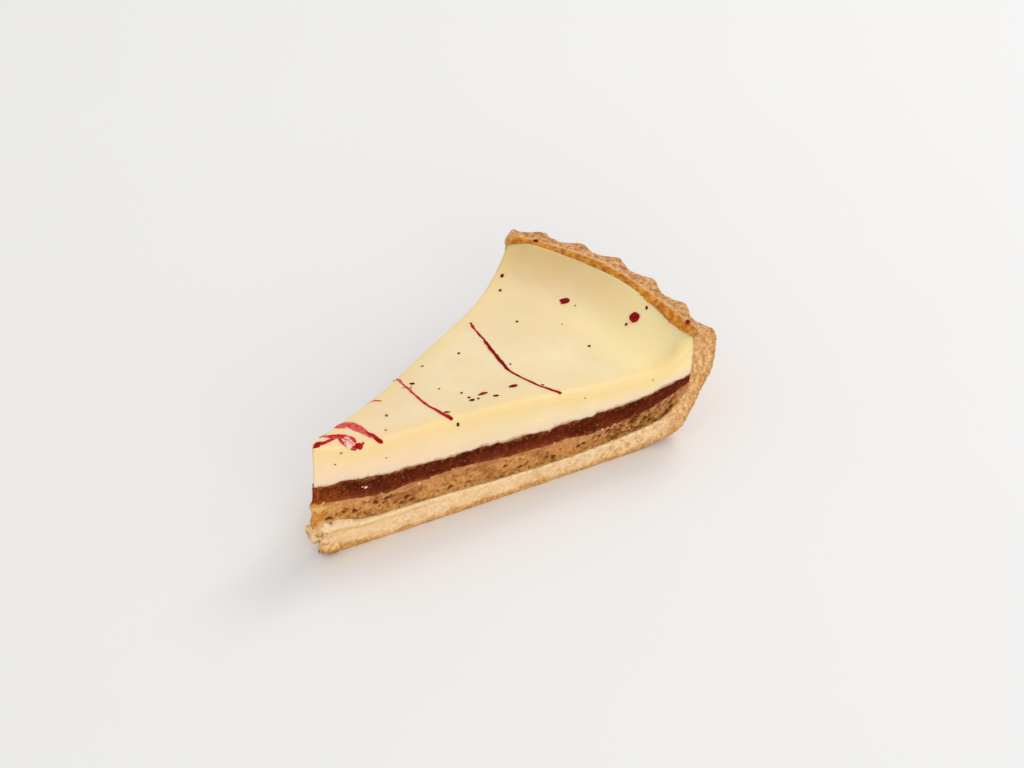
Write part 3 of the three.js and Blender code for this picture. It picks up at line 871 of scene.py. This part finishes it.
def ribbon(route, height, pink, fringe, uneven, seed):
    """Raised line of drizzle on the cream: its points, faces and pinkness.

    route has [x, y, width] places, height is the share of the width that it stands up, pink runs from
    the line's start to its end, and fringe is added to it at the line's thin sides.
    """
    path = smooth_route(route)
    width = path[:, 2]
    path = path[:, :2]
    size = len(path)
    t = np.linspace(0, 1, size)
    ahead = np.gradient(path, axis=0)
    ahead /= np.linalg.norm(ahead, axis=1)[:, None]
    aside = np.stack([ahead[:, 1], -ahead[:, 0]], axis=-1)
    lumps = np.stack([t * size * RIBBON_STEP, 0 * t, 0 * t], axis=-1)
    ends = np.sqrt(np.clip(np.minimum(t, 1 - t) * size / 3 + 0.1, 0, 1))
    broad = width * ends * (1 + uneven * rough(lumps, 1.9, 2, seed))
    high = height * width * ends * (1 + uneven * rough(lumps, 1.4, 2, seed + 5))
    drift = 0.15 * width * rough(lumps, 2.7, 2, seed + 9)
    points, tints = [], []
    for n in range(SECTION_POINTS):
        angle = 2 * math.pi * n / SECTION_POINTS
        xy = path + aside * (broad / 2 * math.cos(angle) + drift)[:, None]
        lift = math.sin(angle) * np.where(math.sin(angle) > 0, high, SINK)
        points.append(np.column_stack([xy, cream_surface(*xy.T) + lift]))
        tints.append(lerp(pink[0], pink[1], t) + fringe * math.cos(angle) ** 4)
    rings = np.arange(size * SECTION_POINTS).reshape(size, SECTION_POINTS)
    turned = np.roll(rings, -1, axis=1)
    sides = np.stack([rings[:-1], turned[:-1], turned[1:], rings[1:]], axis=-1).reshape(-1, 4)
    faces = [*sides.tolist(), rings[0, ::-1].tolist(), rings[-1].tolist()]
    return np.stack(points, axis=1).reshape(-1, 3), faces, np.stack(tints, axis=1).ravel()


def lump(size, turn=0.0, rugged=0.25, seed=0, detail=2, tint=0.0, centre=(0, 0, 0)):
    """An uneven angular bit: its points, faces and tint."""
    ball = bmesh.new()
    bmesh.ops.create_icosphere(ball, subdivisions=detail, radius=0.5)
    points = np.array([v.co for v in ball.verts])
    faces = [[v.index for v in f.verts] for f in ball.faces]
    ball.free()
    uneven = noise(points + seed, 0.45, seed) + 0.5 * noise(points - seed, 0.2, seed + 1)
    points *= (1 + rugged * uneven)[:, None]
    points = (points * size) @ np.array(Matrix.Rotation(turn, 3, "Z")).T + centre
    return points, faces, np.full(len(points), tint)


def join(name, parts):
    """One mesh from several (points, faces, tint)."""
    points, faces, tints, count = [], [], [], 0
    for part_points, part_faces, tint in parts:
        points.append(part_points)
        faces += [[n + count for n in face] for face in part_faces]
        tints.append(tint)
        count += len(part_points)
    mesh = new_mesh(name, np.vstack(points), faces)
    mark(mesh, tint=np.concatenate(tints))
    return mesh


def laid(size, x, y, up=0.0, **shape):
    """A lump that lies on the cream and follows its slope."""
    points, faces, tint = lump(size, **shape)
    points = points + [x, y, up]
    points[:, 2] += cream_surface(points[:, 0], points[:, 1])
    return points, faces, tint


def on_near_cut(r, z, out):
    """A place on the near cut face, or so far out from it."""
    return polar(r, -HALF_ANGLE, z) - np.array([math.sin(HALF_ANGLE), math.cos(HALF_ANGLE), 0]) * out


# Drizzled lines on the cream: places (x, y, width), then height, pinkness, fringe and unevenness.
STROKES = [
    # The long stroke, with its thin beginning.
    ([(90.0, 24.0, 1.0), (88.9, 21.8, 0.9), (87.4, 18.3, 0.75), (85.9, 14.4, 0.6), (85.4, 13.2, 0.6)],
     0.3, (0.1, 0.0), 0.45, 0.5),
    ([(85.5, 13.8, 0.7), (84.3, 11.4, 1.1), (82.8, 8.1, 1.1), (80.5, 3.2, 1.2), (78.6, -1.1, 1.3),
      (77.3, -4.0, 1.2), (76.9, -6.5, 0.75), (76.8, -9.6, 0.75), (76.8, -12.1, 0.85), (76.9, -14.5, 1.0),
      (77.0, -17.0, 0.9), (77.7, -19.4, 0.75), (78.3, -21.7, 1.0), (78.8, -23.2, 1.1), (79.2, -24.2, 1.3)],
     0.34, (-0.2, -0.1), 0.5, 0.2),
    # The second, with its pale beginning.
    ([(51.2, 17.8, 0.9), (50.7, 14.6, 1.1), (49.7, 11.8, 0.8), (49.2, 10.6, 0.6)],
     0.2, (0.75, 0.5), 0.15, 0.3),
    ([(49.3, 11.4, 0.7), (48.5, 8.4, 0.9), (47.7, 5.5, 0.75), (46.5, 1.2, 0.75), (45.5, -3.1, 0.85),
      (45.1, -7.0, 0.95), (44.9, -10.3, 1.1), (44.8, -12.2, 1.3), (45.0, -13.4, 1.5)],
     0.26, (0.5, 0.05), 0.45, 0.25),
    # The broad smear, with its darker end.
    ([(16.2, 5.2, 1.8), (18.2, 5.1, 2.8), (20.1, 4.4, 3.2), (21.3, 2.5, 3.2), (21.8, 0.0, 2.9),
      (22.2, -2.6, 2.3), (22.7, -4.6, 1.8)],
     0.12, (0.72, 0.5), 0.25, 0.2),
    ([(21.9, -0.6, 0.9), (22.4, -3.0, 1.7), (22.9, -4.4, 1.7), (23.0, -6.1, 1.7), (23.7, -7.2, 1.3)],
     0.28, (0.45, -0.1), 0.35, 0.25),
    # At the very tip.
    ([(3.3, -0.5, 0.9), (5.2, -0.1, 1.5), (7.4, 0.3, 1.5), (10.0, 0.5, 1.0), (12.0, 0.7, 0.8),
      (13.4, 0.4, 0.7)], 0.3, (-0.15, 0.5), 0.3, 0.3),
    # The faint arc at the far edge.
    ([(34.3, 10.9, 0.35), (36.0, 10.7, 0.5), (37.3, 9.7, 0.5), (38.2, 8.6, 0.35)],
     0.25, (0.35, 0.5), 0.2, 0.4),
    # Branches of the second stroke.
    ([(47.6, 10.7, 0.4), (48.7, 9.1, 0.5)], 0.22, (0.7, 0.6), 0.2, 0.4),
    ([(50.6, 8.9, 0.4), (49.4, 8.2, 0.6), (48.0, 7.0, 0.3)], 0.22, (0.7, 0.6), 0.2, 0.4),
    # Three that meet in the swirl.
    ([(9.2, 3.7, 0.8), (10.6, 2.5, 1.3), (12.6, 1.4, 1.3), (14.4, 0.6, 1.7), (16.9, -0.6, 1.5)],
     0.28, (0.45, 0.35), 0.3, 0.3),
    ([(13.4, 0.5, 0.8), (13.2, -0.8, 1.1), (13.0, -2.4, 1.1), (13.6, -3.9, 1.0)], 0.28, (0.45, 0.35), 0.3, 0.3),
    ([(16.9, -0.6, 0.9), (16.9, -2.2, 1.1), (16.6, -3.6, 1.2)], 0.28, (0.45, 0.35), 0.3, 0.3),
]
STROKE_SEEDS = [*range(1, 9), *range(14, 19)]
DROPS = [  # x, y, size, tint
    (12.0, 3.9, (0.7, 0.6, 0.4), 0.3), (79.2, -24.1, (1.2, 1.1, 0.7), -0.1),
    (45.0, -13.2, (1.4, 1.3, 0.8), 0.0), (90.1, 24.1, (1.2, 0.9, 0.7), -0.1),
    (18.2, -4.8, (0.8, 0.8, 0.5), 0.2),
]


def make_drizzle():
    parts = [ribbon(*stroke, seed) for stroke, seed in zip(STROKES, STROKE_SEEDS)]
    parts += [laid(size, x, y, seed=9 + n, tint=tint) for n, (x, y, size, tint) in enumerate(DROPS)]
    return join("drizzle", parts)


SWIRL_LUMPS = [  # x, y, height above the cream, size, turn, ruggedness, tint
    (14.4, -3.3, 0.25, (2.7, 3.2, 1.2), 0.6, 0.25, 1.05), (15.2, -4.3, 0.1, (2.6, 1.4, 0.9), -0.3, 0.3, 0.0),
    (15.6, -1.0, 0.15, (2.2, 1.6, 0.9), 0.9, 0.3, 0.9), (16.7, -4.8, 0.1, (1.8, 1.1, 0.8), -0.3, 0.3, 0.05),
    (13.4, -3.4, 0.1, (1.4, 1.0, 0.7), 0.2, 0.3, 0.4),
]
# Where drizzle has run down over the near edge: distance from the axis, height, length.
DRIPS = [(14.8, 35.9, 1.1), (15.7, 35.6, 1.3), (16.6, 35.6, 1.1), (17.5, 35.8, 0.7)]


def make_swirl():
    parts = [
        laid(size, x, y, up, turn=turn, rugged=rugged, seed=21 + n, detail=3, tint=tint)
        for n, (x, y, up, size, turn, rugged, tint) in enumerate(SWIRL_LUMPS)
    ]
    parts += [
        lump((0.45, 0.4, length), -HALF_ANGLE, seed=26 + n, tint=0.35, centre=on_near_cut(r, z, -0.05))
        for n, (r, z, length) in enumerate(DRIPS)
    ]
    return join("swirl", parts)


def drizzle_paint():
    paint = Paint("raspberry_drizzle", 0.06, 0.55)
    streak = paint.noise(0.7, 3, 0.6)
    pink = paint.plus("tint", (streak, 0.3, 0.7, -0.2, 0.2))
    colour = paint.coat(
        paint.grade(pink, (134, 0, 4), (190, 24, 26), -0.2, 0.3),
        ((pink, 0.3, 0.75), (220, 96, 92)),
        ((pink, 0.75, 1.15), (255, 200, 184)),
    )
    return paint.finish(colour, (streak, 0.1))


BERRY_BITS = [  # x, y, length, width, height, turn in degrees, darkness
    (116.9, 10.0, 2.9, 2.2, 0.9, -45, 0.2), (121.7, -15.2, 3.1, 2.8, 1.3, -45, 0.1),
    (125.2, -16.8, 1.0, 0.8, 0.6, 60, 0.3), (61.2, -10.1, 3.1, 1.0, 0.8, -16, 0.0),
    (71.0, -13.0, 2.7, 1.1, 0.9, -16, 0.4), (63.1, -13.7, 1.7, 0.9, 0.6, -35, 0.8),
    (56.4, -10.4, 1.8, 0.9, 0.6, -28, 0.7), (51.5, 9.8, 1.4, 1.1, 0.7, -40, 0.9),
    (60.9, 15.4, 1.3, 0.7, 0.5, -40, 0.7), (46.3, -10.2, 1.8, 0.6, 0.5, -40, 0.6),
    (78.4, -17.9, 1.1, 0.5, 0.4, -40, 0.2), (46.0, -15.1, 0.9, 0.7, 0.4, 10, 0.8),
]
DARK_SPECKS = [  # x, y, length, paleness
    (113.4, 33.5, 1.6, 0), (109.0, 30.1, 1.3, 0), (100.8, 14.7, 1.3, 0), (74.0, 13.0, 1.2, 0),
    (54.5, 1.5, 0.9, 0.1), (57.2, -5.2, 1.1, 0), (117.2, 5.7, 1.0, 0.4), (108.8, 3.2, 0.9, 0.5),
    (105.9, -10.9, 1.2, 0.1), (80.1, -2.8, 1.1, 0.3), (119.2, -13.8, 1.2, 0.2), (33.0, 1.1, 1.2, 0.35),
    (27.5, -4.4, 0.8, 0.6), (58.3, -11.1, 1.0, 0), (56.8, -8.7, 1.1, 0),
]
# On the near cut: distance from the axis, height, length, and how pale the speck is.
NEAR_CUT_SPECKS = [
    (113.5, 25.1, 0.6, 0.5), (11.4, 35.8, 0.9, 0.5), (9.3, 32.5, 0.6, 0.3), (25.2, 28.9, 0.6, 0.6),
    (90.3, 26.8, 0.5, 0.5), (18.3, 20.9, 1.3, 1.0), (35.1, 15.9, 1.1, 1.0), (17.2, 21.4, 0.7, 1.0),
]
RIM_BITS = [(13.7, -30), (-14.9, 10)]  # azimuth and turn, in degrees


def make_berry_bits():
    parts = [
        laid((length, width, height), x, y, 0.1 * height, turn=math.radians(turn), rugged=0.35,
             seed=100 + n, detail=3, tint=dark)
        for n, (x, y, length, width, height, turn, dark) in enumerate(BERRY_BITS)
    ]
    for n, (azimuth, turn) in enumerate(RIM_BITS):
        height = float(rim_ridge(azimuth / math.degrees(HALF_ANGLE)))
        at = polar(RIM_RIDGE_RADIUS, math.radians(azimuth), height + 0.1)
        parts.append(lump((1.7, 1.3, 0.9), math.radians(turn), 0.35, 130 + n, 3, centre=at))
    return join("berry_bits", parts)


def make_specks():
    parts = [
        laid((0.75 * length, 0.65 * length, 0.7 * length), x, y, turn=-0.7, seed=200 + n, tint=pale)
        for n, (x, y, length, pale) in enumerate(DARK_SPECKS)
    ]
    parts += [
        lump((length, 0.4, 0.6 * length), -HALF_ANGLE, seed=230 + n, tint=pale, centre=on_near_cut(r, z, 0.1))
        for n, (r, z, length, pale) in enumerate(NEAR_CUT_SPECKS)
    ]
    return join("specks", parts)


def berry_paint():
    paint = Paint("dried_raspberry", 0.1, 0.6)
    grain = paint.noise(0.6, 3, 0.6)
    red = paint.grade(grain, (118, 0, 2), (172, 6, 8), 0.35, 0.65)
    return paint.finish(paint.coat(red, ("tint", (84, 10, 4))), (grain, 0.18))


def speck_paint():
    paint = Paint("dark_speck", 0.05, 0.8)
    return paint.finish(paint.coat(
        srgb((66, 14, 2)),
        (paint.noise(0.4, 2), (112, 34, 10)),
        (("tint", 0, 0.5), (168, 112, 66)),
        (("tint", 0.6, 1), (244, 196, 164)),
    ))


# Lumps that have come away at the broken tip: place, size, turn in degrees.
TIP_LUMPS = [
    ((3.1, 3.3, 8.6), (3.2, 3.2, 2.8), 20), ((3.7, 0.9, 9.0), (3.2, 4.0, 2.9), -10),
    ((4.3, 2.1, 11.2), (2.8, 3.2, 2.6), 15), ((5.2, -1.6, 9.6), (3.6, 2.2, 2.2), -20),
    ((8.0, -2.8, 10.4), (3.2, 1.2, 1.5), -20), ((5.2, 0.3, 2.7), (3.0, 4.4, 4.0), 0),
    ((7.0, -1.7, 2.4), (3.6, 2.0, 3.6), -18),
]


def make_tip_lumps():
    """Lumps that are pale above and darker golden underneath, that darkening underneath being painted shade."""
    parts = []
    for n, (place, size, turn) in enumerate(TIP_LUMPS):
        points, faces, _ = lump(size, math.radians(turn), 0.3, 300 + n, 4, centre=place)
        points += 0.12 * rough(points, 0.9, 2, 330)[:, None]
        parts.append((points, faces, 1 - (points[:, 2] - points[:, 2].min()) / np.ptp(points[:, 2])))
    return join("tip_lumps", parts)


def lump_paint():
    paint = Paint("shortcrust_lumps", 0.2, 0.8)
    fine = paint.noise(0.5, 3, 0.7)
    pale = paint.grade(fine, (222, 170, 96), (252, 218, 158))
    golden = paint.grade(fine, (150, 92, 30), (210, 148, 64))
    # tint runs from each lump's top to its underside: darker golden underneath as painted shade
    colour = paint.mix(("tint", 0.25, 0.8), pale, golden)
    return paint.finish(colour, (fine, 0.3), (paint.grains(0.9), 0.15))


# ---- everything in its place ----
drizzle = drizzle_paint()
add_piece("pastry_case_piece", make_case(), pastry_paint(), ["pastry_case"])
add_piece("almond_sponge_piece", make_sponge(), sponge_paint(), ["almond_sponge"])
add_piece("fruit_layer_piece", make_fruit(), fruit_paint(), ["fruit_layer"])
add_piece("panna_cotta_piece", make_cream(), cream_paint(), ["panna_cotta"])
add_piece("drizzle", make_drizzle(), drizzle)
add_piece("swirl", make_swirl(), drizzle)
add_piece("berry_bits", make_berry_bits(), berry_paint())
add_piece("specks", make_specks(), speck_paint())
add_piece("tip_lumps", make_tip_lumps(), lump_paint())

# ---- floor, light and camera ----
FLOOR_SIZE = 6.0
WORLD_LIGHT = 0.67
LIGHTS = {  # direction from the slice, distance and size in m, power in W
    "key": ((0.7, 0.0, 0.75), 1.6, 0.65, 8.1),
    "fill": ((-0.5, -0.8, 0.35), 1.6, 1.2, 8.5),
}
CAMERA_AT = (-0.47453, -0.49412, 0.52623)
CAMERA_HEADING = math.radians(45.277)  # from +X
CAMERA_DOWN = math.radians(36.069)
CAMERA_ROLL = math.radians(-1.522)
CAMERA_LENS, SENSOR_WIDTH = 100.02, 36  # mm
CLIP_START, CLIP_END = 0.05, 20


def make_floor():
    half = FLOOR_SIZE / 2
    mesh = bpy.data.meshes.new("floor")
    corners = [(-half, -half, 0), (half, -half, 0), (half, half, 0), (-half, half, 0)]
    mesh.from_pydata(corners, [], [(0, 1, 2, 3)])
    paint = Paint("pale_floor", 0.2, 0.6)
    colour = paint.coat(srgb((239, 238, 237)), (paint.noise(90, 2), (242, 241, 240)))
    mesh.materials.append(paint.finish(colour))
    bring_in("floor", mesh)


def area_light(name, towards, distance, size, power):
    """A soft square light that shines on the slice from a direction."""
    data = bpy.data.lights.new(name, "AREA")
    data.size, data.energy = size, power
    light = bring_in(name, data)
    direction = Vector(towards).normalized()
    light.location = direction * distance
    light.rotation_mode = "QUATERNION"
    light.rotation_quaternion = direction.to_track_quat("Z", "Y")


def make_camera():
    data = bpy.data.cameras.new("camera")
    data.sensor_width, data.lens = SENSOR_WIDTH, CAMERA_LENS
    data.clip_start, data.clip_end = CLIP_START, CLIP_END
    camera = bring_in("camera", data)
    level = Euler((math.pi / 2 - CAMERA_DOWN, 0, CAMERA_HEADING - math.pi / 2)).to_matrix()
    turned = level @ Matrix.Rotation(CAMERA_ROLL, 3, "Z")
    camera.matrix_world = Matrix.Translation(CAMERA_AT) @ turned.to_4x4()
    bpy.context.scene.camera = camera


def make_world():
    world = bpy.data.worlds.new("studio")
    world.use_nodes = True
    background = world.node_tree.nodes["Background"]
    background.inputs["Color"].default_value = (1, 1, 1, 1)
    background.inputs["Strength"].default_value = WORLD_LIGHT
    bpy.context.scene.world = world


make_floor()
make_world()
for name, light in LIGHTS.items():
    area_light(name, *light)
make_camera()
bpy.context.scene.view_settings.view_transform = "Standard"
